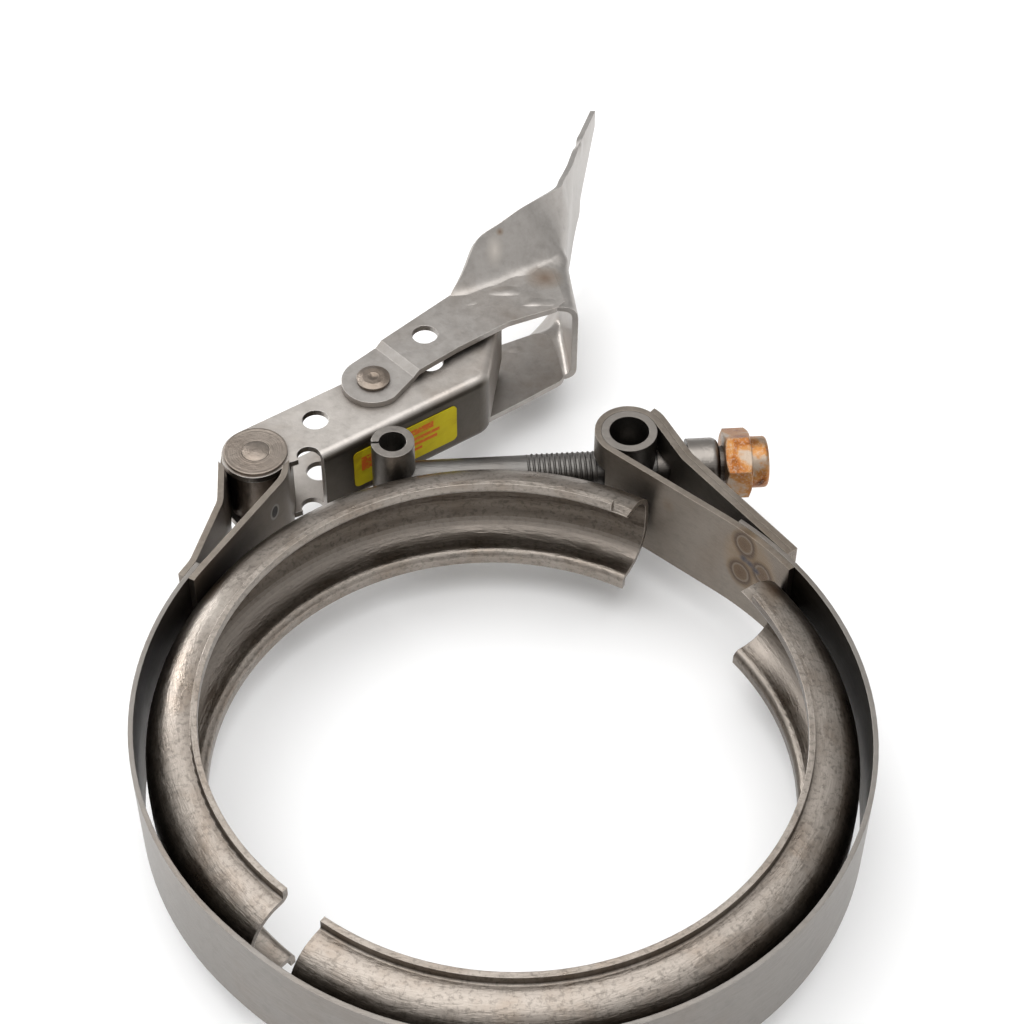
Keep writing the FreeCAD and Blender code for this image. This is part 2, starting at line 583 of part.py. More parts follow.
def make_arms():
    body = new_body("handle_arms", HANDLE_PLACE)
    ear_front = polar(HANDLE_EAR, 270)
    ear_back = polar(HANDLE_EAR, 90)
    outside = "Sizes.link_height + 2 * (Sizes.running_gap + Sizes.handle_sheet + Sizes.step_rise)"
    wide_front = [EAR_TOE, LOWER_ARM_HIP, LOWER_ARM_BELLY, LOWER_ARM_SHIN, LOWER_ARM_TOE]
    narrow_front = [EAR_TOE, UPPER_ARM_HIP, UPPER_ARM_SHIN, UPPER_ARM_TOE]
    points = [ear_front] + wide_front + [ARM_HEEL, ARM_BACK, ear_back]
    edge = bent_run(points, [ARM_BEND] * len(wide_front) + [TAB_BEND, ARM_BEND])
    edge += [turn(V(0, 0, 0), HANDLE_EAR, 90, 270)]
    pad(body, "arm_blank", [curve(part) for part in edge], outside)
    beyond = V(HANDLE_END, UPPER_ARM_TOE.y, 0)
    low_right, low_left = V(HANDLE_END, -LINK_LENGTH, 0), V(0, -LINK_LENGTH, 0)
    trim = bent_run([ear_front] + narrow_front + [beyond], [ARM_BEND] * len(narrow_front))
    trim += [run(beyond, low_right), run(low_right, low_left), run(low_left, ear_front)]
    pocket(body, "upper_arm_front", [curve(part) for part in trim], "2 * Sizes.link_height", offset=LINK_HEIGHT)
    low = LINK_HEIGHT / 2 + RUNNING_GAP
    high = low + STEP_RISE
    step = STEP_START + STEP_LENGTH
    reach = 2 * LINK_LENGTH
    middle = [V(-reach, -low, 0), V(STEP_START, -low, 0), V(step, -high, 0), V(reach, -high, 0),
              V(reach, high, 0), V(step, high, 0), V(STEP_START, low, 0), V(-reach, low, 0)]
    pocket(body, "between_arms", polygon(middle), "4 * Sizes.link_length", "XZ_Plane")
    for side in (1, -1):
        over = [V(-reach, side * (low + HANDLE_SHEET), 0), V(STEP_START, side * (low + HANDLE_SHEET), 0),
                V(step, side * (high + HANDLE_SHEET), 0), V(step, side * 2 * high, 0),
                V(-reach, side * 2 * high, 0)]
        pocket(body, f"over_ear_{'upper' if side > 0 else 'lower'}", polygon(over), "4 * Sizes.link_length",
               "XZ_Plane")
    holes = circle(RIVET_RADIUS + RUNNING_GAP) + circle(LOCK_HOLE, HANDLE_HOLE_S, HANDLE_HOLE_T)
    pocket(body, "arm_holes", holes, "4 * Sizes.link_height")
    return body


def eased(before, corner, after, bend):
    """Points that carry a sheet smoothly round a corner."""
    arriving = (corner - before).normalize()
    leaving = (after - corner).normalize()
    first, last = corner - arriving * bend, corner + leaving * bend
    shares = [i / EASE_STEPS for i in range(EASE_STEPS + 1)]
    return [first * ((1 - f) ** 2) + corner * (2 * f * (1 - f)) + last * (f ** 2) for f in shares]


def evenly(points, count):
    """The same line of points, set out again in equal steps."""
    lengths = [0.0]
    for before, after in zip(points, points[1:]):
        lengths.append(lengths[-1] + (after - before).Length)
    spaced = []
    leg = 0
    for i in range(count):
        reach = lengths[-1] * i / (count - 1)
        while leg < len(points) - 2 and lengths[leg + 1] < reach:
            leg += 1
        share = (reach - lengths[leg]) / (lengths[leg + 1] - lengths[leg])
        spaced.append(points[leg] + (points[leg + 1] - points[leg]) * share)
    return spaced


def met(points, y):
    """Where the line through the points crosses this y."""
    for low, high in zip(points, points[1:]):
        if y <= high.y:
            break
    return low + (high - low) * ((y - low.y) / (high.y - low.y))


def tab_section(y, wall_at, fold_at, edge):
    """One closed section of the tab: end wall, flat arms as far as the fold, wings out to their edges."""
    rise = HANDLE_OUTER - HANDLE_SHEET / 2
    if edge.z < rise:
        rise = edge.z / 2
    wall, corner = V(wall_at.x, y, 0), V(wall_at.x, y, rise)
    fold = V(fold_at.x, y, rise)
    if fold.x > wall.x - HANDLE_SHEET:
        fold = (corner + edge) * (1 / 2)
    bend = min(TAB_BEND, rise / 2, (fold - corner).Length / 2)
    ease = min(TAB_BEND, (fold - corner).Length / 2, (edge - fold).Length / 2)
    half = eased(wall, corner, fold, bend) + eased(corner, fold, edge, ease)[1:] + [edge]
    line = [V(p.x, p.y, -p.z) for p in reversed(half)] + half
    line = evenly(line, TAB_POINTS)
    sides = []
    for distance in (TAB_SHEET / 2, -TAB_SHEET / 2):
        moved = []
        for i, point in enumerate(line):
            along = (line[min(i + 1, len(line) - 1)] - line[max(i - 1, 0)]).normalize()
            moved.append(point + V(along.z, 0, -along.x) * distance)
        spline = Part.BSplineCurve()
        spline.interpolate(Points=moved, Parameters=[float(i) for i in range(len(moved))])
        sides.append(spline.toShape())
    joins = [Part.makeLine(sides[0].Vertexes[i].Point, sides[1].Vertexes[i].Point) for i in (0, -1)]
    return Part.Wire([sides[0], joins[1], sides[1], joins[0]])


def make_tab():
    """The loft that carries the arms and end wall out into wings and on to the narrow tip."""
    tab = doc.addObject("Part::Feature", "handle_tab")
    wall = [WALL_FOOT, WALL_WAIST, WALL_MIDDLE, TAB_TIP]
    fold = [FOLD_START, FOLD_BEND, FOLD_END, WALL_MIDDLE, TAB_TIP]
    wing = [WING_START, WING_RISE, WING_FLANK, WING_CREST, WING_SHOULDER, WING_SLOPE, WING_POINT, TAB_TIP]
    sections = []
    for i in range(TAB_STEPS + 1):
        y = WALL_FOOT.y + (TAB_TIP.y - WALL_FOOT.y) * i / TAB_STEPS
        sections.append(tab_section(y, met(wall, y), met(fold, y), met(wing, y)))
    tab.Shape = Part.makeLoft(sections, True, False)
    return tab


def make_handle():
    arms = make_arms()
    tab = make_tab()
    handle = doc.addObject("Part::Fuse", "handle")
    handle.Base = arms
    handle.Tool = tab
    handle.Refine = True
    handle.Label = "handle"
    return handle


# Bolt line: trunnion, bolt, head, sleeve and nut

def make_trunnion():
    body = new_body("trunnion", BOLT_PLACE)
    pad(body, "trunnion_tube", circle(TRUNNION_RADIUS) + circle(TRUNNION_BORE), "Sizes.trunnion_height")
    pocket(body, "trunnion_cross_bore", circle(BOLT_RADIUS + BOLT_GAP), "4 * Sizes.trunnion_radius", "YZ_Plane")
    return body


def make_bolt():
    body = new_body("t_bolt", BOLT_PLACE)
    outline = [V(-HEAD_REACH, 0, 0), V(-HEAD_REACH, BOLT_RADIUS, 0), V(BOLT_END - BOLT_CHAMFER, BOLT_RADIUS, 0),
               V(BOLT_END, BOLT_RADIUS - BOLT_CHAMFER, 0), V(BOLT_END, 0, 0)]
    spin(body, "Revolution", "bolt_turn", polygon(outline))
    flats = rectangle(-HEAD_REACH - 1, SHANK_FLAT / 2, -THREAD_START, BOLT_RADIUS + 1)
    flats += rectangle(-HEAD_REACH - 1, -BOLT_RADIUS - 1, -THREAD_START, -SHANK_FLAT / 2)
    pocket(body, "shank_flats", flats, "4 * Sizes.bolt_radius")
    return body


def make_head():
    body = new_body("t_head", BOLT_PLACE)
    pad(body, "head_tube", circle(HEAD_RADIUS, -HEAD_REACH) + circle(HEAD_BORE, -HEAD_REACH), "Sizes.head_height")
    split = rectangle(-HEAD_REACH - HEAD_RADIUS - 1, -HEAD_SPLIT / 2, -HEAD_REACH, HEAD_SPLIT / 2)
    pocket(body, "head_split", split, "2 * Sizes.head_height")
    half = SHANK_FLAT / 2 + PLY_GAP
    window = rectangle(-HEAD_REACH, -half, -HEAD_REACH + HEAD_RADIUS + 1, half)
    pocket(body, "head_window", window, "2 * (Sizes.bolt_radius + Sizes.ply_gap)")
    return body


def make_sleeve():
    body = new_body("sleeve", BOLT_PLACE)
    bore = BOLT_RADIUS + BOLT_GAP
    round_from = SLEEVE_END - SLEEVE_ROUND
    corner = turn(V(round_from, SLEEVE_RADIUS - SLEEVE_ROUND, 0), SLEEVE_ROUND, 0, 90)
    points = [start_of(corner), V(SLEEVE_END, bore, 0), V(NECK_START, bore, 0), V(NECK_START, NECK_RADIUS, 0),
              V(SLEEVE_START, NECK_RADIUS, 0), V(SLEEVE_START, SLEEVE_RADIUS, 0), end_of(corner)]
    outline = [corner] + [run(a, b) for a, b in zip(points, points[1:])]
    spin(body, "Revolution", "sleeve_turn", [curve(part) for part in outline])
    return body


def make_nut():
    body = new_body("lock_nut", BOLT_PLACE)
    corner = NUT_FLATS / 2 / math.cos(math.radians(30))
    hexagon = polygon([polar(corner, 30 + 60 * i) for i in range(6)])
    pad(body, "nut_hexagon", hexagon, "Sizes.nut_length", "YZ_Plane", NUT_START + NUT_LENGTH / 2)
    nut_end = NUT_START + NUT_LENGTH
    rim = turn(V(COLLAR_END - COLLAR_ROUND, COLLAR_RADIUS - COLLAR_ROUND, 0), COLLAR_ROUND, 0, 90)
    inside = NUT_START + NUT_LENGTH / 2
    points = [start_of(rim), V(COLLAR_END, 0, 0), V(inside, 0, 0), V(inside, COLLAR_RADIUS, 0), end_of(rim)]
    collar = [rim] + [run(a, b) for a, b in zip(points, points[1:])]
    spin(body, "Revolution", "nut_collar", [curve(part) for part in collar])
    drop = corner - NUT_FLATS / 2
    for name, x, way in (("near", NUT_START, 1), ("far", nut_end, -1)):
        chamfer = [V(x, NUT_FLATS / 2, 0), V(x, corner + 1, 0), V(x + way * (drop + 1) / 2, corner + 1, 0)]
        spin(body, "Groove", f"nut_{name}_chamfer", polygon(chamfer))
    pocket(body, "nut_bore", circle(BOLT_RADIUS + BOLT_GAP / 2), "4 * Sizes.collar_end", "YZ_Plane")
    return body


# Every piece, checked and written

pieces = [
    make_band(),
    make_retainer("v_retainer_left", V(0, 0, 0), LEFT_RETAINER_START, LEFT_RETAINER_END, -1),
    make_retainer("v_retainer_right", RIGHT_CENTRE, RIGHT_RETAINER_START, RIGHT_RETAINER_END, 1),
    make_pivot_loop(),
    make_bushing(),
    make_pin(),
    make_washer("pivot_washer_upper", 1),
    make_washer("pivot_washer_lower", -1),
    make_link(),
    make_label(),
    make_handle(),
    make_rivet("handle_rivet_upper", 1),
    make_rivet("handle_rivet_lower", -1),
    make_trunnion_loop(),
    make_doubler(),
    make_trunnion(),
    make_bolt(),
    make_head(),
    make_sleeve(),
    make_nut(),
]
doc.recompute()
faults = [f"{item.Name}: {item.State}" for item in doc.Objects if {"Invalid", "Error"} & set(item.State)]
for piece in pieces:
    shape = piece.Shape
    if shape.isNull() or not shape.isValid() or len(shape.Solids) != 1:
        faults.append(f"{piece.Label}: {len(shape.Solids)} solids")
if faults:
    raise RuntimeError("; ".join(faults))
os.makedirs("parts", exist_ok=True)
for piece in pieces:
    piece.Shape.exportStep(f"parts/{piece.Label}.step")
    box = piece.Shape.BoundBox
    print(f"{piece.Label}: {box.XMin:.1f} {box.YMin:.1f} {box.ZMin:.1f} to "
          f"{box.XMax:.1f} {box.YMax:.1f} {box.ZMax:.1f}, {piece.Shape.Volume:.0f} mm3")
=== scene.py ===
import math

import bmesh
import bpy
from mathutils import Matrix, Quaternion, Vector


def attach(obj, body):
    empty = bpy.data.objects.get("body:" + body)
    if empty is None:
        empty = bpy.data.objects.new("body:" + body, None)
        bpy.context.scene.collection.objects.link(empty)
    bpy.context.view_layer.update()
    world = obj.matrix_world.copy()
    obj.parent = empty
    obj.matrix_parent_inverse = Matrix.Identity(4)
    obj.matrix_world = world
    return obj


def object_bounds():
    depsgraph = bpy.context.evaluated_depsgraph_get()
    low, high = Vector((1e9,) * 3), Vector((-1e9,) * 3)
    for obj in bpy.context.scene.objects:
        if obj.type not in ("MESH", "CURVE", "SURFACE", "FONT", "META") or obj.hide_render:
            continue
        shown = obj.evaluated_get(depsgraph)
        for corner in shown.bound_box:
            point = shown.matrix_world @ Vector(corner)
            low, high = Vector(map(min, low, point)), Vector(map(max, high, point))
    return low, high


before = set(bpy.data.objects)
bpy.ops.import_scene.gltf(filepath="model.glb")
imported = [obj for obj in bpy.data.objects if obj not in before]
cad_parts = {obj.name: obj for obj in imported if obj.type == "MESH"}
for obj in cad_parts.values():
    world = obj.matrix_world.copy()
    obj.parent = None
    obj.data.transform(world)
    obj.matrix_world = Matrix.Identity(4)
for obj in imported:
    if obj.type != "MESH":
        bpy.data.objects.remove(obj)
cad_low, cad_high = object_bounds()
MM = 0.001

# Camera: where the photograph was taken from

LOOK_AT = Vector((3.007, 49.122, 0.0)) * MM
CAMERA_ELEVATION = math.radians(47.953)
CAMERA_DISTANCE = 419.453 * MM
CAMERA_ROLL = math.radians(0.508)
FOCAL_PIXELS = 2400
FRAME_PIXELS = 1024
SENSOR = 36.0
NEAREST_SEEN = 0.01


def make_camera():
    data = bpy.data.cameras.new("photo_camera")
    data.sensor_width = SENSOR
    data.lens = SENSOR * FOCAL_PIXELS / FRAME_PIXELS
    data.clip_start = NEAREST_SEEN
    camera = bpy.data.objects.new("photo_camera", data)
    bpy.context.scene.collection.objects.link(camera)
    back = Vector((0, -math.cos(CAMERA_ELEVATION), math.sin(CAMERA_ELEVATION)))
    camera.location = LOOK_AT + back * CAMERA_DISTANCE
    aim = back.to_track_quat("Z", "Y")
    camera.rotation_mode = "QUATERNION"
    camera.rotation_quaternion = Quaternion(back, CAMERA_ROLL) @ aim
    bpy.context.scene.camera = camera


make_camera()


# Small helpers for shader nodes

FLOAT = "NodeSocketFloat"
COLOUR = "NodeSocketColor"
VECTOR = "NodeSocketVector"


def feed(tree, socket, value):
    """Gives an input a number, a colour, a vector or another node's output."""
    if isinstance(value, bpy.types.NodeSocket):
        tree.links.new(value, socket)
    elif socket.type == "RGBA":
        socket.default_value = (*value, 1.0)
    else:
        socket.default_value = value


def add(tree, kind, **values):
    """A node with its settings and inputs filled in."""
    node = tree.nodes.new(kind)
    for name, value in values.items():
        if hasattr(node, name):
            setattr(node, name, value)
        else:
            feed(tree, node.inputs[name.replace("_", " ")], value)
    return node


def noise(tree, **values):
    return add(tree, "ShaderNodeTexNoise", **values).outputs["Fac"]


def ramp(tree, source, stops):
    """A colour ramp with (place, colour) stops, where one number stands for a grey."""
    node = tree.nodes.new("ShaderNodeValToRGB")
    elements = node.color_ramp.elements
    while len(elements) < len(stops):
        elements.new(0.5)
    for element, (place, colour) in zip(elements, stops):
        element.position = place
        element.color = (*colour, 1.0) if isinstance(colour, tuple) else (colour, colour, colour, 1.0)
    feed(tree, node.inputs["Fac"], source)
    return node.outputs["Color"]


def math_node(tree, operation, first, second=None, clamp=False):
    node = add(tree, "ShaderNodeMath", operation=operation, use_clamp=clamp)
    feed(tree, node.inputs[0], first)
    if second is not None:
        feed(tree, node.inputs[1], second)
    return node.outputs["Value"]


def total(tree, first, second, clamp=False):
    return math_node(tree, "ADD", first, second, clamp)


def difference(tree, first, second, clamp=False):
    return math_node(tree, "SUBTRACT", first, second, clamp)


def product(tree, first, second, clamp=False):
    return math_node(tree, "MULTIPLY", first, second, clamp)


def vector_math(tree, operation, first, second=None):
    node = add(tree, "ShaderNodeVectorMath", operation=operation)
    feed(tree, node.inputs[0], first)
    if second is not None:
        feed(tree, node.inputs[1], second)
    return node.outputs["Value" if operation in ("LENGTH", "DOT_PRODUCT") else "Vector"]


def mix_colour(tree, factor, first, second, blend="MIX"):
    node = add(tree, "ShaderNodeMix", data_type="RGBA", blend_type=blend)
    inputs = {socket.identifier: socket for socket in node.inputs}
    feed(tree, inputs["Factor_Float"], factor)
    feed(tree, inputs["A_Color"], first)
    feed(tree, inputs["B_Color"], second)
    return [socket for socket in node.outputs if socket.identifier == "Result_Color"][0]


def new_group(name, inputs, outputs):
    """A shader node group with named inputs and outputs, and the sockets at both of its ends."""
    group = bpy.data.node_groups.new(name, "ShaderNodeTree")
    for label, kind in inputs.items():
        group.interface.new_socket(label, in_out="INPUT", socket_type=kind)
    for label, kind in outputs.items():
        group.interface.new_socket(label, in_out="OUTPUT", socket_type=kind)
    given = group.nodes.new("NodeGroupInput").outputs
    result = group.nodes.new("NodeGroupOutput").inputs
    return group, given, result


def use_group(tree, group, **values):
    """Places a group in a material with the material's own values, and hands back its outputs."""
    node = add(tree, "ShaderNodeGroup", node_tree=group)
    for name, value in values.items():
        feed(tree, node.inputs[name], value)
    return node.outputs


# Effects shared by the finishes

FLAT = (1.0, 1.0, 0.0)
NOISE_MIDDLE = 0.5
SOFT_SAMPLES = 3
STREAKS_IN_SCRATCH = 3.5
SPOTS_IN_CLOUD = 9.0
STREAK_SHARE = 0.4
CLOUD_SHARE = 0.6
TONE_STOPS = [(0.30, 0.0), (0.72, 1.0)]
BROWN_STOPS = [(0.34, 1.0), (0.52, 0.0)]
BROWN_SHARE = 0.25
BROWN_TINT = (1.05, 0.85, 0.68)
SCRATCH_SHARE = 0.22
SCRATCH_DEPTH = 0.5
SPECK_STOPS = [(0.50, 0.0), (0.64, 1.0)]
SPECK_TINT = (0.4, 0.4, 0.4)
CLOUD_GLOSS = 0.30
STREAK_GLOSS = 0.12


def thin_line(tree, source):
    """Turns the middle value of a noise into a thin bright line."""
    sharpness = 14.0
    off = math_node(tree, "ABSOLUTE", difference(tree, source, NOISE_MIDDLE))
    return difference(tree, 1.0, product(tree, off, sharpness, clamp=True), clamp=True)


def piece_normal(tree):
    """The way the surface faces, in the piece's own axes."""
    surface = add(tree, "ShaderNodeNewGeometry").outputs["True Normal"]
    turned = add(tree, "ShaderNodeVectorTransform", vector_type="NORMAL", convert_from="WORLD",
                 convert_to="OBJECT", Vector=surface)
    return turned.outputs["Vector"]


def make_rolled_grain():
    """Fine streaks along a strap, with a few deeper scratches."""
    group, given, result = new_group("rolled_grain", {"Vector": VECTOR, "Size": FLOAT},
                                     {"Streaks": FLOAT, "Scratches": FLOAT})
    scratch_size = math_node(group, "DIVIDE", given["Size"], STREAKS_IN_SCRATCH)
    fine = noise(group, Vector=given["Vector"], Scale=given["Size"], Detail=4.0, Roughness=0.6)
    coarse = noise(group, Vector=given["Vector"], Scale=scratch_size, Detail=6.0, Roughness=0.65)
    feed(group, result["Streaks"], fine)
    feed(group, result["Scratches"], thin_line(group, coarse))
    return group


def make_ring_grain():
    """Streaks that run round the ring, for parts drawn and rolled to a circle."""
    group, given, result = new_group("ring_grain", {"Vector": VECTOR, "Across": FLOAT, "Along": FLOAT},
                                     {"Streaks": FLOAT, "Scratches": FLOAT})
    parts = add(group, "ShaderNodeSeparateXYZ", Vector=given["Vector"]).outputs
    radius = vector_math(group, "LENGTH", vector_math(group, "MULTIPLY", given["Vector"], FLAT))
    cosine = math_node(group, "DIVIDE", parts["X"], radius)
    sine = math_node(group, "DIVIDE", parts["Y"], radius)
    around = add(group, "ShaderNodeCombineXYZ", X=product(group, cosine, given["Along"]),
                 Y=product(group, sine, given["Along"]), Z=product(group, radius, given["Across"]))
    level = product(group, parts["Z"], given["Across"])
    place = {"noise_dimensions": "4D", "Vector": around.outputs["Vector"], "W": level, "Roughness": 0.62}
    feed(group, result["Streaks"], noise(group, **place, Scale=1.0, Detail=4.0))
    feed(group, result["Scratches"], thin_line(group, noise(group, **place, Scale=0.3, Detail=6.0)))
    return group


def make_smudges():
    """Slow changes of tone, as handling leaves on bare steel, and fine spots."""
    group, given, result = new_group("smudges", {"Vector": VECTOR, "Size": FLOAT},
                                     {"Cloud": FLOAT, "Spots": FLOAT})
    spot_size = product(group, given["Size"], SPOTS_IN_CLOUD)
    cloud = noise(group, Vector=given["Vector"], Scale=given["Size"], Detail=5.0, Roughness=0.55,
                  Distortion=0.4)
    spots = noise(group, Vector=given["Vector"], Scale=spot_size, Detail=3.0, Roughness=0.7)
    feed(group, result["Cloud"], cloud)
    feed(group, result["Spots"], spots)
    return group


def make_bare_steel():
    """Tone, gloss and relief of bare steel, worked out from its grain and its smudges."""
    group, given, result = new_group(
        "bare_steel", {"Streaks": FLOAT, "Scratches": FLOAT, "Cloud": FLOAT, "Spots": FLOAT, "Light": COLOUR,
                       "Dark": COLOUR, "Specks": FLOAT, "Roughness": FLOAT, "Pits": FLOAT},
        {"Colour": COLOUR, "Roughness": FLOAT, "Height": FLOAT})
    streaks, scratches, cloud, spots = (given[name] for name in ("Streaks", "Scratches", "Cloud", "Spots"))
    tone = total(group, product(group, streaks, STREAK_SHARE), product(group, cloud, CLOUD_SHARE))
    colour = mix_colour(group, ramp(group, tone, TONE_STOPS), given["Dark"], given["Light"])
    browned = product(group, ramp(group, cloud, BROWN_STOPS), BROWN_SHARE)
    brown = mix_colour(group, 1.0, given["Dark"], BROWN_TINT, "MULTIPLY")
    colour = mix_colour(group, browned, colour, brown)
    colour = mix_colour(group, product(group, scratches, SCRATCH_SHARE), colour, given["Light"])
    specked = product(group, ramp(group, spots, SPECK_STOPS), given["Specks"])
    speck = mix_colour(group, 1.0, given["Dark"], SPECK_TINT, "MULTIPLY")
    feed(group, result["Colour"], mix_colour(group, specked, colour, speck))
    rough = product(group, difference(group, cloud, NOISE_MIDDLE), CLOUD_GLOSS)
    rough = total(group, rough, product(group, difference(group, streaks, NOISE_MIDDLE), STREAK_GLOSS))
    feed(group, result["Roughness"], total(group, rough, given["Roughness"], clamp=True))
    height = difference(group, streaks, product(group, scratches, SCRATCH_DEPTH))
    feed(group, result["Height"], total(group, height, product(group, spots, given["Pits"])))
    return group


def make_soft_spot():
    """A soft round or oval field about a centre, ragged at its edge: 0 in the middle, 1 outside."""
    raggedness = 0.15
    group, given, result = new_group("soft_spot", {"Vector": VECTOR, "Centre": VECTOR, "Reach": VECTOR},
                                     {"Distance": FLOAT})
    offset = vector_math(group, "SUBTRACT", given["Vector"], given["Centre"])
    distance = vector_math(group, "LENGTH", vector_math(group, "DIVIDE", offset, given["Reach"]))
    wobble = difference(group, noise(group, Vector=given["Vector"], Scale=520.0, Detail=3.0), NOISE_MIDDLE)
    ragged = total(group, distance, product(group, wobble, raggedness), clamp=True)
    feed(group, result["Distance"], ragged)
    return group


def make_edge_wear_and_highlight():
    """A rounded normal, and a mask of a sheet's edges for rubbed wear and a painted highlight."""
    strength = 5.0
    group, given, result = new_group("edge_wear_and_highlight", {"Radius": FLOAT}, {"Normal": VECTOR, "Edge": FLOAT})
    rounded = add(group, "ShaderNodeBevel", samples=SOFT_SAMPLES, Radius=given["Radius"]).outputs["Normal"]
    plain = add(group, "ShaderNodeNewGeometry").outputs["Normal"]
    apart = difference(group, 1.0, vector_math(group, "DOT_PRODUCT", rounded, plain))
    feed(group, result["Normal"], rounded)
    feed(group, result["Edge"], product(group, apart, strength, clamp=True))
    return group


def make_crevice():
    """Painted shade where two surfaces meet closely, from ambient occlusion."""
    strength = 1.3
    group, given, result = new_group("crevice", {"Reach": FLOAT}, {"PaintedShade": FLOAT})
    opened = add(group, "ShaderNodeAmbientOcclusion", samples=SOFT_SAMPLES, Distance=given["Reach"])
    shut = difference(group, 1.0, opened.outputs["AO"])
    feed(group, result["PaintedShade"], product(group, shut, strength, clamp=True))
    return group


def make_groove():
    """Marks the inside of the V groove, where the surface looks towards the ring's axis."""
    least_radius = 46.8 * MM
    least_agreement = 0.05
    turn_rate = 5.0
    depth_rate = 700.0
    group, given, result = new_group("groove", {"Vector": VECTOR}, {"Inside": FLOAT})
    level = vector_math(group, "MULTIPLY", given["Vector"], FLAT)
    outward = vector_math(group, "NORMALIZE", level)
    agree = vector_math(group, "DOT_PRODUCT", piece_normal(group), outward)
    looks_in = product(group, difference(group, -least_agreement, agree), turn_rate, clamp=True)
    beyond = difference(group, vector_math(group, "LENGTH", level), least_radius)
    deep = product(group, beyond, depth_rate, clamp=True)
    feed(group, result["Inside"], product(group, looks_in, deep))
    return group


def make_facing():
    """1 where the surface faces the given way on the piece, and 0 elsewhere."""
    least_agreement = 0.55
    turn_rate = 3.0
    group, given, result = new_group("facing", {"Way": VECTOR}, {"Share": FLOAT})
    agree = vector_math(group, "DOT_PRODUCT", piece_normal(group), given["Way"])
    beyond = difference(group, agree, least_agreement)
    feed(group, result["Share"], product(group, beyond, turn_rate, clamp=True))
    return group


def make_turned_rings():
    """Fine circles left by turning, about an upright axis."""
    depth = 1.6
    group, given, result = new_group("turned_rings", {"Vector": VECTOR, "Axis": VECTOR}, {"Height": FLOAT})
    offset = vector_math(group, "SUBTRACT", given["Vector"], given["Axis"])
    radius = vector_math(group, "LENGTH", vector_math(group, "MULTIPLY", offset, FLAT))
    rings = noise(group, noise_dimensions="1D", W=radius, Scale=2600.0, Detail=3.0)
    feed(group, result["Height"], product(group, rings, depth))
    return group


ROLLED_GRAIN = make_rolled_grain()
RING_GRAIN = make_ring_grain()
SMUDGES = make_smudges()
BARE_STEEL = make_bare_steel()
SOFT_SPOT = make_soft_spot()
EDGE_WEAR_AND_HIGHLIGHT = make_edge_wear_and_highlight()
CREVICE = make_crevice()
GROOVE = make_groove()
FACING = make_facing()
TURNED_RINGS = make_turned_rings()


# Marks on the steel: their tints, and their shares from the middle outwards

HALO_TINT = [(0.0, (0.15, 0.10, 0.06)), (1.0, (0.26, 0.19, 0.12))]
HALO_SHARE = [(0.0, 0.75), (0.7, 0.55), (1.0, 0.0)]
# Weld spots: heat tint in rings, with a painted highlight in one thin bright ring.
WELD_TINT_AND_HIGHLIGHT = [(0.0, (0.10, 0.066, 0.042)), (0.40, (0.12, 0.080, 0.050)), (0.50, (0.185, 0.150, 0.118)),
             (0.58, (0.075, 0.050, 0.035)), (0.70, (0.085, 0.058, 0.040)), (0.86, (0.16, 0.105, 0.058)),
             (1.0, (0.22, 0.17, 0.12))]
WELD_SHARE = [(0.0, 0.95), (0.62, 0.9), (0.80, 0.5), (1.0, 0.0)]
BLUE_TINT = [(0.0, (0.040, 0.044, 0.060)), (1.0, (0.10, 0.085, 0.08))]
BLUE_SHARE = [(0.0, 0.95), (0.5, 0.7), (1.0, 0.0)]
STAIN_TINT = [(0.0, (0.16, 0.09, 0.045)), (1.0, (0.30, 0.21, 0.13))]
STAIN_SHARE = [(0.0, 0.75), (1.0, 0.0)]
FAINT_STAIN_SHARE = [(0.0, 0.3), (1.0, 0.0)]
# A dimple drawn only in colour: a dark middle of painted shade and a painted highlight on its rim.
DIMPLE_SHADE_AND_HIGHLIGHT_TINT = [(0.0, (0.02, 0.018, 0.016)), (0.55, (0.03, 0.027, 0.024)), (0.75, (0.42, 0.39, 0.35)),
               (1.0, (0.2, 0.2, 0.2))]
DIMPLE_SHADE_AND_HIGHLIGHT_SHARE = [(0.0, 1.0), (0.8, 0.9), (1.0, 0.0)]
# Scuffs: bright patches, part rubbed wear and part painted highlight.
SCUFF_AND_HIGHLIGHT_TINT = [(0.0, (0.70, 0.64, 0.58)), (1.0, (0.50, 0.45, 0.40))]
SCUFF_AND_HIGHLIGHT_SHARE = [(0.0, 0.6), (1.0, 0.0)]

# Each mark has its centre and its reach in millimetres, its tint and its share

WELD_MARKS = [((43.6, 34.9, 2.6), (6.5, 6.5, 8.0), HALO_TINT, HALO_SHARE),
              ((42.2, 36.3, -0.7), (3.4, 3.4, 3.8), WELD_TINT_AND_HIGHLIGHT, WELD_SHARE),
              ((45.4, 32.8, 2.7), (3.3, 3.3, 3.5), WELD_TINT_AND_HIGHLIGHT, WELD_SHARE),
              ((42.4, 36.1, 6.6), (3.3, 3.3, 3.9), WELD_TINT_AND_HIGHLIGHT, WELD_SHARE),
              ((42.5, 36.0, 3.2), (1.2, 1.2, 1.1), BLUE_TINT, BLUE_SHARE),
              ((43.5, 35.0, 3.0), (1.3, 1.3, 1.0), BLUE_TINT, BLUE_SHARE),
              ((44.5, 33.9, 2.4), (1.1, 1.1, 1.0), BLUE_TINT, BLUE_SHARE)]
# The first leaf mark is the painted dimple, the second a faint stain.
LEAF_MARKS = [((-37.8, 44.6, 4.5), (1.4, 1.4, 1.9), DIMPLE_SHADE_AND_HIGHLIGHT_TINT, DIMPLE_SHADE_AND_HIGHLIGHT_SHARE),
              ((29.9, 46.7, 4.8), (1.6, 1.6, 2.0), STAIN_TINT, FAINT_STAIN_SHARE)]
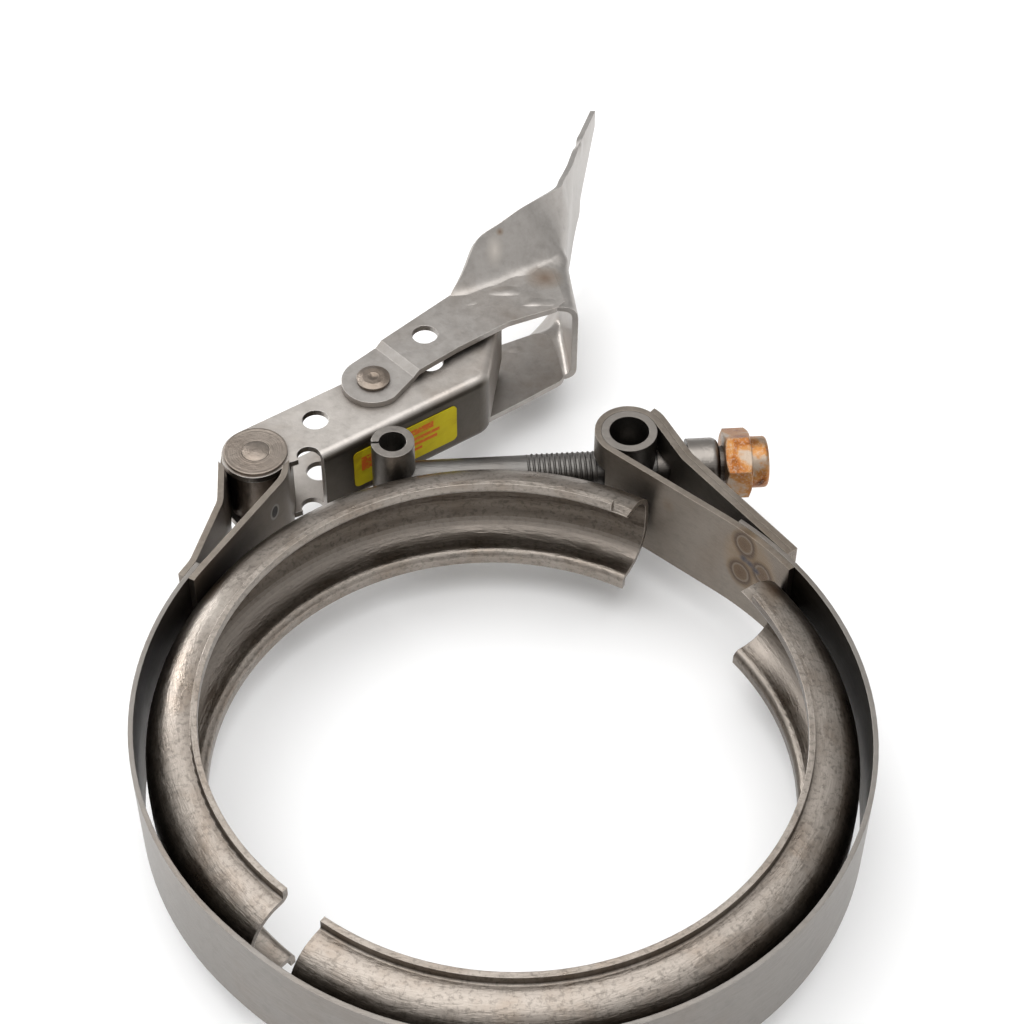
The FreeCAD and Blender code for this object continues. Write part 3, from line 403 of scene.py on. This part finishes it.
# The first shoulder mark is a scuff with a painted highlight.
SHOULDER_MARKS = [((-46.5, 21.0, 8.0), (5.5, 9.0, 3.0), SCUFF_AND_HIGHLIGHT_TINT, SCUFF_AND_HIGHLIGHT_SHARE),
                  ((-47.5, 26.0, 7.0), (3.0, 4.0, 2.5), STAIN_TINT, STAIN_SHARE),
                  ((46.7, 25.3, 7.7), (3.5, 4.5, 2.5), STAIN_TINT, STAIN_SHARE)]
# The first tab mark is a scuff with a painted highlight.
TAB_MARKS = [((-0.6, 102.2, 13.6), (2.0, 4.0, 4.0), SCUFF_AND_HIGHLIGHT_TINT, SCUFF_AND_HIGHLIGHT_SHARE),
             ((0.3, 104.7, 15.9), (0.9, 0.9, 0.9), STAIN_TINT, STAIN_SHARE),
             ((8.7, 99.3, 9.4), (4.0, 3.5, 2.0), STAIN_TINT, STAIN_SHARE)]


# Steel finishes

SHEET_EDGE = 0.2 * MM
CREVICE_REACH = 3.0 * MM
GRAIN_DEPTH = 0.12 * MM
ROUND_THE_RING = 22.0
# Edges are lightened: part rubbed wear, part painted highlight.
RUBBED_AND_HIGHLIGHT_TINT = (2.1, 2.1, 2.1)
RUBBED_AND_HIGHLIGHT_SHARE = 0.55
# Colour of the painted shade in crevices.
CREVICE_SHADE_TINT = (0.22, 0.18, 0.15)
# Painted shade inside the V groove, and painted light on its lower flank, which faces up.
HOLLOW_SHADE_TINT = (1.0, 0.95, 0.9)
LIT_LOWER_FLANK_SHARE = 0.6
LIT_TINT = (1.9, 1.9, 1.9)
SIDE_SHADE_TINT = (0.22, 0.208, 0.19)
UP = (0.0, 0.0, 1.0)


def tinted(colour, tint):
    """A colour brightened or darkened, channel by channel, and never above white."""
    return tuple(min(1.0, value * share) for value, share in zip(colour, tint))


def new_material(name, **values):
    """A material, its node tree and its shader's inputs, with the plain values set on the shader."""
    material = bpy.data.materials.new(name)
    material.use_nodes = True
    inputs = material.node_tree.nodes["Principled BSDF"].inputs
    for label, value in values.items():
        inputs[label.replace("_", " ")].default_value = value
    return material, material.node_tree, inputs


def own_place(tree):
    """The place on the piece, in metres from the part's origin."""
    return add(tree, "ShaderNodeTexCoord").outputs["Object"]


def raise_surface(tree, shader, height, strength, depth, normal=None):
    """Fine relief, laid over the rounded edges where their normal is given."""
    lift = add(tree, "ShaderNodeBump", Strength=strength, Distance=depth, Height=height)
    if normal is not None:
        feed(tree, lift.inputs["Normal"], normal)
    feed(tree, shader["Normal"], lift.outputs["Normal"])


def drawn_grain(tree, place, ring, size, stretch):
    if ring:
        return use_group(tree, RING_GRAIN, Vector=place, Across=size, Along=ROUND_THE_RING)
    stretched = add(tree, "ShaderNodeMapping", Vector=place, Scale=stretch).outputs["Vector"]
    return use_group(tree, ROLLED_GRAIN, Vector=stretched, Size=size)


def shade_hollow(tree, place, colour, hollow_shade, light):
    """Paints shade on the inside of the V groove, and paints light back on its lower flank, which faces up.
    """
    inside = use_group(tree, GROOVE, Vector=place)["Inside"]
    shade = tinted((hollow_shade, hollow_shade, hollow_shade), HOLLOW_SHADE_TINT)
    colour = mix_colour(tree, inside, colour, shade, "MULTIPLY")
    lit_lower_flank = product(tree, inside, use_group(tree, FACING, Way=UP)["Share"])
    return mix_colour(tree, product(tree, lit_lower_flank, LIT_LOWER_FLANK_SHARE), colour, light)


def add_mark(tree, place, colour, centre, reach, tint, share):
    spot = use_group(tree, SOFT_SPOT, Vector=place, Centre=tuple(v * MM for v in centre),
                     Reach=tuple(v * MM for v in reach))["Distance"]
    return mix_colour(tree, ramp(tree, spot, share), colour, ramp(tree, spot, tint))


def steel(name, light, dark, roughness, ring=False, grain_size=900.0, stretch=(1.0, 1.0, 1.0),
          cloud_size=60.0, specks=0.12, pits=0.1, bump=0.2, crevice_shade=0.6, marks=(), hollow_shade=None,
          lit_way=None, shaded_way=None, turned_about=None):
    """Bare stainless: drawn streaks, smudges, scratches, rubbed edges with a painted highlight, painted
    shade in crevices, where asked painted shade in the groove and painted light and shade on faces turned
    given ways, and the marks that it carries.
    """
    material, tree, shader = new_material(name, Metallic=1.0)
    place = own_place(tree)
    grain = drawn_grain(tree, place, ring, grain_size, stretch)
    smudges = use_group(tree, SMUDGES, Vector=place, Size=cloud_size)
    bare = use_group(tree, BARE_STEEL, Streaks=grain["Streaks"], Scratches=grain["Scratches"],
                     Cloud=smudges["Cloud"], Spots=smudges["Spots"], Light=light, Dark=dark, Specks=specks,
                     Roughness=roughness, Pits=pits)
    colour = bare["Colour"]
    # Painted shade in the groove, with painted light on its lower flank.
    if hollow_shade:
        colour = shade_hollow(tree, place, colour, hollow_shade, light)
    # Painted light on faces turned the given way.
    if lit_way:
        lit = use_group(tree, FACING, Way=lit_way)["Share"]
        colour = mix_colour(tree, lit, colour, tinted(light, LIT_TINT))
    # Painted shade on faces turned the given way.
    if shaded_way:
        shaded_side = use_group(tree, FACING, Way=shaded_way)["Share"]
        colour = mix_colour(tree, shaded_side, colour, SIDE_SHADE_TINT, "MULTIPLY")
    for mark in marks:
        colour = add_mark(tree, place, colour, *mark)
    rounded_edge = use_group(tree, EDGE_WEAR_AND_HIGHLIGHT, Radius=SHEET_EDGE)
    # Rubbed wear and a painted highlight along the edges.
    rubbed_and_highlit = product(tree, rounded_edge["Edge"], RUBBED_AND_HIGHLIGHT_SHARE)
    colour = mix_colour(tree, rubbed_and_highlit, colour, tinted(light, RUBBED_AND_HIGHLIGHT_TINT))
    # Painted shade in crevices.
    crevice_shaded = product(tree, use_group(tree, CREVICE, Reach=CREVICE_REACH)["PaintedShade"], crevice_shade)
    feed(tree, shader["Base Color"], mix_colour(tree, crevice_shaded, colour, tinted(dark, CREVICE_SHADE_TINT)))
    feed(tree, shader["Roughness"], bare["Roughness"])
    height = bare["Height"]
    if turned_about:
        axis = (turned_about[0] * MM, turned_about[1] * MM, 0.0)
        height = total(tree, height, use_group(tree, TURNED_RINGS, Vector=place, Axis=axis)["Height"])
    raise_surface(tree, shader, height, bump, GRAIN_DEPTH, rounded_edge["Normal"])
    return material


PIVOT = (-41.8, 56.0)
RIVET = (-22.0, 73.0)
LINK_TURN = math.radians(35.0)
WEB_WAY = (math.sin(LINK_TURN), -math.cos(LINK_TURN), 0.0)

BAND_STEEL = steel("band_steel", (0.25, 0.233, 0.215), (0.175, 0.16, 0.145), 0.40, ring=True,
                   grain_size=1500.0, hollow_shade=0.40)
RETAINER_STEEL = steel("retainer_steel", (0.36, 0.322, 0.285), (0.21, 0.182, 0.155), 0.33, ring=True,
                       grain_size=2200.0, cloud_size=130.0, specks=0.45, pits=0.5, bump=0.30,
                       marks=SHOULDER_MARKS, hollow_shade=0.44)
LEAF_STEEL = steel("leaf_steel", (0.26, 0.228, 0.195), (0.165, 0.142, 0.118), 0.38, stretch=(1.0, 1.0, 7.0),
                   crevice_shade=0.4, marks=WELD_MARKS + LEAF_MARKS)
# The link's web gets painted shade.
LINK_STEEL = steel("link_steel", (0.53, 0.495, 0.462), (0.38, 0.35, 0.32), 0.40, grain_size=500.0,
                   cloud_size=45.0, shaded_way=WEB_WAY)
HANDLE_STEEL = steel("handle_steel", (0.42, 0.395, 0.372), (0.28, 0.26, 0.24), 0.40, grain_size=600.0,
                     cloud_size=45.0, bump=0.16, crevice_shade=0.25, marks=TAB_MARKS)
PIVOT_STEEL = steel("pivot_steel", (0.31, 0.268, 0.23), (0.20, 0.17, 0.145), 0.36, bump=0.3,
                    turned_about=PIVOT)
RIVET_STEEL = steel("rivet_steel", (0.29, 0.25, 0.215), (0.17, 0.143, 0.118), 0.36, bump=0.3,
                    turned_about=RIVET)
# Painted light on the upward faces of the trunnion and sleeve.
BARREL_STEEL = steel("barrel_steel", (0.13, 0.119, 0.108), (0.075, 0.068, 0.062), 0.38, bump=0.3, crevice_shade=0.3,
                     lit_way=UP)
# A lighter copy of the bolt's steel, standing in for a painted highlight on the T-head.
LIT_HEAD_STEEL = steel("lit_head_steel", (0.28, 0.26, 0.238), (0.17, 0.155, 0.14), 0.38, bump=0.3, crevice_shade=0.3)
SHANK_STEEL = steel("shank_steel", (0.175, 0.167, 0.158), (0.11, 0.104, 0.098), 0.36,
                    stretch=(0.4, 3.0, 3.0), bump=0.3, crevice_shade=0.3)
THREAD_STEEL = steel("thread_steel", (0.13, 0.123, 0.116), (0.07, 0.066, 0.061), 0.40, bump=0.3, crevice_shade=0.3)


# The lock nut: copper plating in warm patches, and grey steel where it has rubbed off

NUT_EDGE = 0.4 * MM
PLATE_DEPTH = 0.2 * MM
PLATE_CLOUD_SIZE = 230.0
RUBBED_BARE = (0.44, 0.36, 0.29)
FLECK_SHARE = 0.45
NUT_EDGE_SHARE = 0.5
COPPER_STOPS = [(0.34, (0.075, 0.026, 0.010)), (0.43, (0.27, 0.095, 0.025)), (0.53, (0.36, 0.17, 0.055)),
                (0.63, (0.36, 0.285, 0.22))]
FLECK_STOPS = [(0.48, 0.0), (0.66, 1.0)]


def make_nut_plate():
    material, tree, shader = new_material("nut_plate", Metallic=1.0)
    smudges = use_group(tree, SMUDGES, Vector=own_place(tree), Size=PLATE_CLOUD_SIZE)
    rounded_edge = use_group(tree, EDGE_WEAR_AND_HIGHLIGHT, Radius=NUT_EDGE)
    colour = ramp(tree, smudges["Cloud"], COPPER_STOPS)
    flecks = product(tree, ramp(tree, smudges["Spots"], FLECK_STOPS), FLECK_SHARE)
    colour = mix_colour(tree, flecks, colour, RUBBED_BARE)
    colour = mix_colour(tree, product(tree, rounded_edge["Edge"], NUT_EDGE_SHARE), colour, RUBBED_BARE)
    feed(tree, shader["Base Color"], colour)
    least_rough = 0.22
    spread = 0.35
    rough = total(tree, product(tree, smudges["Spots"], spread), least_rough, clamp=True)
    feed(tree, shader["Roughness"], rough)
    raise_surface(tree, shader, smudges["Spots"], strength=0.3, depth=PLATE_DEPTH, normal=rounded_edge["Normal"])
    return material


NUT_PLATE = make_nut_plate()


# The label: yellow film with plain bars of a warmer colour, in millimetres along the link's web

BARS = [(26.0, 12.0, 2.5, 0.75), (29.0, 8.5, 0.7, 0.40), (28.0, 9.5, -0.6, 0.40), (26.0, 7.0, -1.9, 0.35),
        (18.0, 2.6, 0.9, 1.7)]
BAR_COLOUR = (0.62, 0.13, 0.015)
BAR_WEAR = [(0.36, 0.1), (0.46, 1.0)]
FILM_STOPS = [(0.35, (0.40, 0.29, 0.006)), (0.50, (0.55, 0.44, 0.008)), (0.70, (0.62, 0.52, 0.012))]
FILM_DEPTH = 0.1 * MM
FILM_CLOUD_SIZE = 180.0


def bar_mask(tree, along, level, bar):
    """1 inside one bar, and 0 outside it."""
    middle, length, height, half_width = bar
    far = math_node(tree, "ABSOLUTE", difference(tree, along, middle * MM))
    high = math_node(tree, "ABSOLUTE", difference(tree, level, height * MM))
    inside = math_node(tree, "LESS_THAN", far, length * MM / 2)
    return product(tree, inside, math_node(tree, "LESS_THAN", high, half_width * MM))


def make_label_film():
    material, tree, shader = new_material("label_film", Specular_IOR_Level=0.15)
    place = own_place(tree)
    smudges = use_group(tree, SMUDGES, Vector=place, Size=FILM_CLOUD_SIZE)
    pivot = (PIVOT[0] * MM, PIVOT[1] * MM, 0.0)
    along_link = add(tree, "ShaderNodeMapping", vector_type="TEXTURE", Vector=place, Location=pivot,
                     Rotation=(0.0, 0.0, LINK_TURN))
    parts = add(tree, "ShaderNodeSeparateXYZ", Vector=along_link.outputs["Vector"]).outputs
    colour = ramp(tree, smudges["Cloud"], FILM_STOPS)
    broken = ramp(tree, smudges["Spots"], BAR_WEAR)
    for bar in BARS:
        mask = product(tree, bar_mask(tree, parts["X"], parts["Z"], bar), broken)
        colour = mix_colour(tree, mask, colour, BAR_COLOUR)
    feed(tree, shader["Base Color"], colour)
    least_rough = 0.45
    spread = 0.2
    feed(tree, shader["Roughness"], total(tree, product(tree, smudges["Spots"], spread), least_rough))
    raise_surface(tree, shader, smudges["Spots"], strength=0.2, depth=FILM_DEPTH)
    return material


LABEL_FILM = make_label_film()


# Each piece gets its finish

FINISHES = {
    "outer_band": BAND_STEEL,
    "v_retainer_left": RETAINER_STEEL,
    "v_retainer_right": RETAINER_STEEL,
    "pivot_loop": LEAF_STEEL,
    "pivot_bushing": PIVOT_STEEL,
    "pivot_pin": PIVOT_STEEL,
    "pivot_washer_upper": PIVOT_STEEL,
    "pivot_washer_lower": PIVOT_STEEL,
    "link": LINK_STEEL,
    "yellow_label": LABEL_FILM,
    "handle": HANDLE_STEEL,
    "handle_rivet_upper": RIVET_STEEL,
    "handle_rivet_lower": RIVET_STEEL,
    "trunnion_loop": LEAF_STEEL,
    "trunnion_loop_doubler": LEAF_STEEL,
    "trunnion": BARREL_STEEL,
    "t_bolt": SHANK_STEEL,
    "t_head": LIT_HEAD_STEEL,
    "sleeve": BARREL_STEEL,
    "lock_nut": NUT_PLATE,
}


def dress(piece, material):
    """Gives every face of a piece one finish."""
    piece.data.materials.clear()
    piece.data.materials.append(material)


for piece_name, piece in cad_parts.items():
    dress(piece, FINISHES[piece_name])


# Thread on the bolt, from the shank's end to the trunnion loop

TRUNNION = Vector((23.4, 59.9, 0.0))
BOLT_TURN = Matrix.Rotation(math.radians(4.5), 3, "Z")
THREAD_FROM = -17.9
THREAD_TO = -5.6
THREAD_LEAD = 25.4 / 28
THREAD_STEPS = 48
RUN_OUT_STEPS = THREAD_STEPS / 4
THREAD_BASE = 3.12
THREAD_CREST = 0.24
THREAD_ROOT = -0.08
HALF_CREST = 0.06 * THREAD_LEAD
HALF_FOOT = 0.46 * THREAD_LEAD


def make_thread():
    """The helical ridge of the thread, run out at both ends."""
    mesh = bmesh.new()
    count = int((THREAD_TO - THREAD_FROM) / THREAD_LEAD * THREAD_STEPS)
    rows = []
    for i in range(count + 1):
        angle = 2 * math.pi * i / THREAD_STEPS
        middle = THREAD_FROM + THREAD_LEAD * i / THREAD_STEPS
        crest = THREAD_CREST * min(1.0, i / RUN_OUT_STEPS, (count - i) / RUN_OUT_STEPS)
        row = []
        for shift, rise in ((-HALF_FOOT, THREAD_ROOT), (-HALF_CREST, crest), (HALF_CREST, crest),
                            (HALF_FOOT, THREAD_ROOT)):
            radius = THREAD_BASE + rise
            point = Vector((middle + shift, radius * math.cos(angle), radius * math.sin(angle)))
            row.append(mesh.verts.new((TRUNNION + BOLT_TURN @ point) * MM))
        rows.append(row)
    for near, far in zip(rows, rows[1:]):
        for k in range(len(near) - 1):
            mesh.faces.new((near[k], far[k], far[k + 1], near[k + 1]))
        mesh.faces.new((near[-1], far[-1], far[0], near[0]))
    mesh.faces.new(rows[0])
    mesh.faces.new(list(reversed(rows[-1])))
    bmesh.ops.recalc_face_normals(mesh, faces=mesh.faces)
    data = bpy.data.meshes.new("bolt_thread")
    mesh.to_mesh(data)
    mesh.free()
    thread = bpy.data.objects.new("bolt_thread", data)
    bpy.context.scene.collection.objects.link(thread)
    dress(thread, THREAD_STEEL)
    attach(thread, "bolt")


make_thread()


# Floor, world and lamps

FLOOR_HALF = 3.0
FLOOR_GAP = 0.4 * MM
PAPER = (0.96, 0.96, 0.96, 1.0)
SKY_STOPS = [(0.0, 0.78), (0.30, 1.0), (1.0, 1.0)]
ROOM_STOPS = [(0.0, 0.56), (0.16, 0.62), (0.8, 0.88), (1.0, 0.95)]
LAMPS = [("top_softbox", (-0.12, 0.08, 0.95), (0.0, 0.04, 0.0), (1.1, 1.1), 8.5),
         ("left_strip", (-0.60, 0.62, 0.34), (-0.03, 0.0, 0.0), (0.14, 0.45), 2.2)]


def make_stage():
    mesh = bpy.data.meshes.new("floor")
    level = cad_low[2] - FLOOR_GAP
    corners = [(x * FLOOR_HALF, y * FLOOR_HALF, level) for x, y in ((-1, -1), (1, -1), (1, 1), (-1, 1))]
    mesh.from_pydata(corners, [], [(0, 1, 2, 3)])
    floor = bpy.data.objects.new("floor", mesh)
    bpy.context.scene.collection.objects.link(floor)
    dress(floor, new_material("floor_paper", Base_Color=PAPER, Roughness=0.9)[0])


def make_world():
    """Soft light from all round, a little darker behind the part and below it."""
    world = bpy.data.worlds.new("studio")
    bpy.context.scene.world = world
    world.use_nodes = True
    tree = world.node_tree
    direction = add(tree, "ShaderNodeTexCoord").outputs["Generated"]
    parts = add(tree, "ShaderNodeSeparateXYZ", Vector=direction).outputs
    sky = ramp(tree, parts["Z"], SKY_STOPS)
    forward = product(tree, difference(tree, 1.0, parts["Y"]), 0.5)
    room = ramp(tree, forward, ROOM_STOPS)
    feed(tree, tree.nodes["Background"].inputs["Color"], mix_colour(tree, 1.0, sky, room, "MULTIPLY"))


def add_lamp(name, place, target, size, power):
    data = bpy.data.lights.new(name, "AREA")
    data.shape = "RECTANGLE"
    data.size, data.size_y = size
    data.energy = power
    lamp = bpy.data.objects.new(name, data)
    bpy.context.scene.collection.objects.link(lamp)
    lamp.location = place
    lamp.rotation_mode = "QUATERNION"
    lamp.rotation_quaternion = (Vector(place) - Vector(target)).to_track_quat("Z", "Y")


make_stage()
make_world()
for lamp_values in LAMPS:
    add_lamp(*lamp_values)

bpy.context.scene.view_settings.view_transform = "Standard"
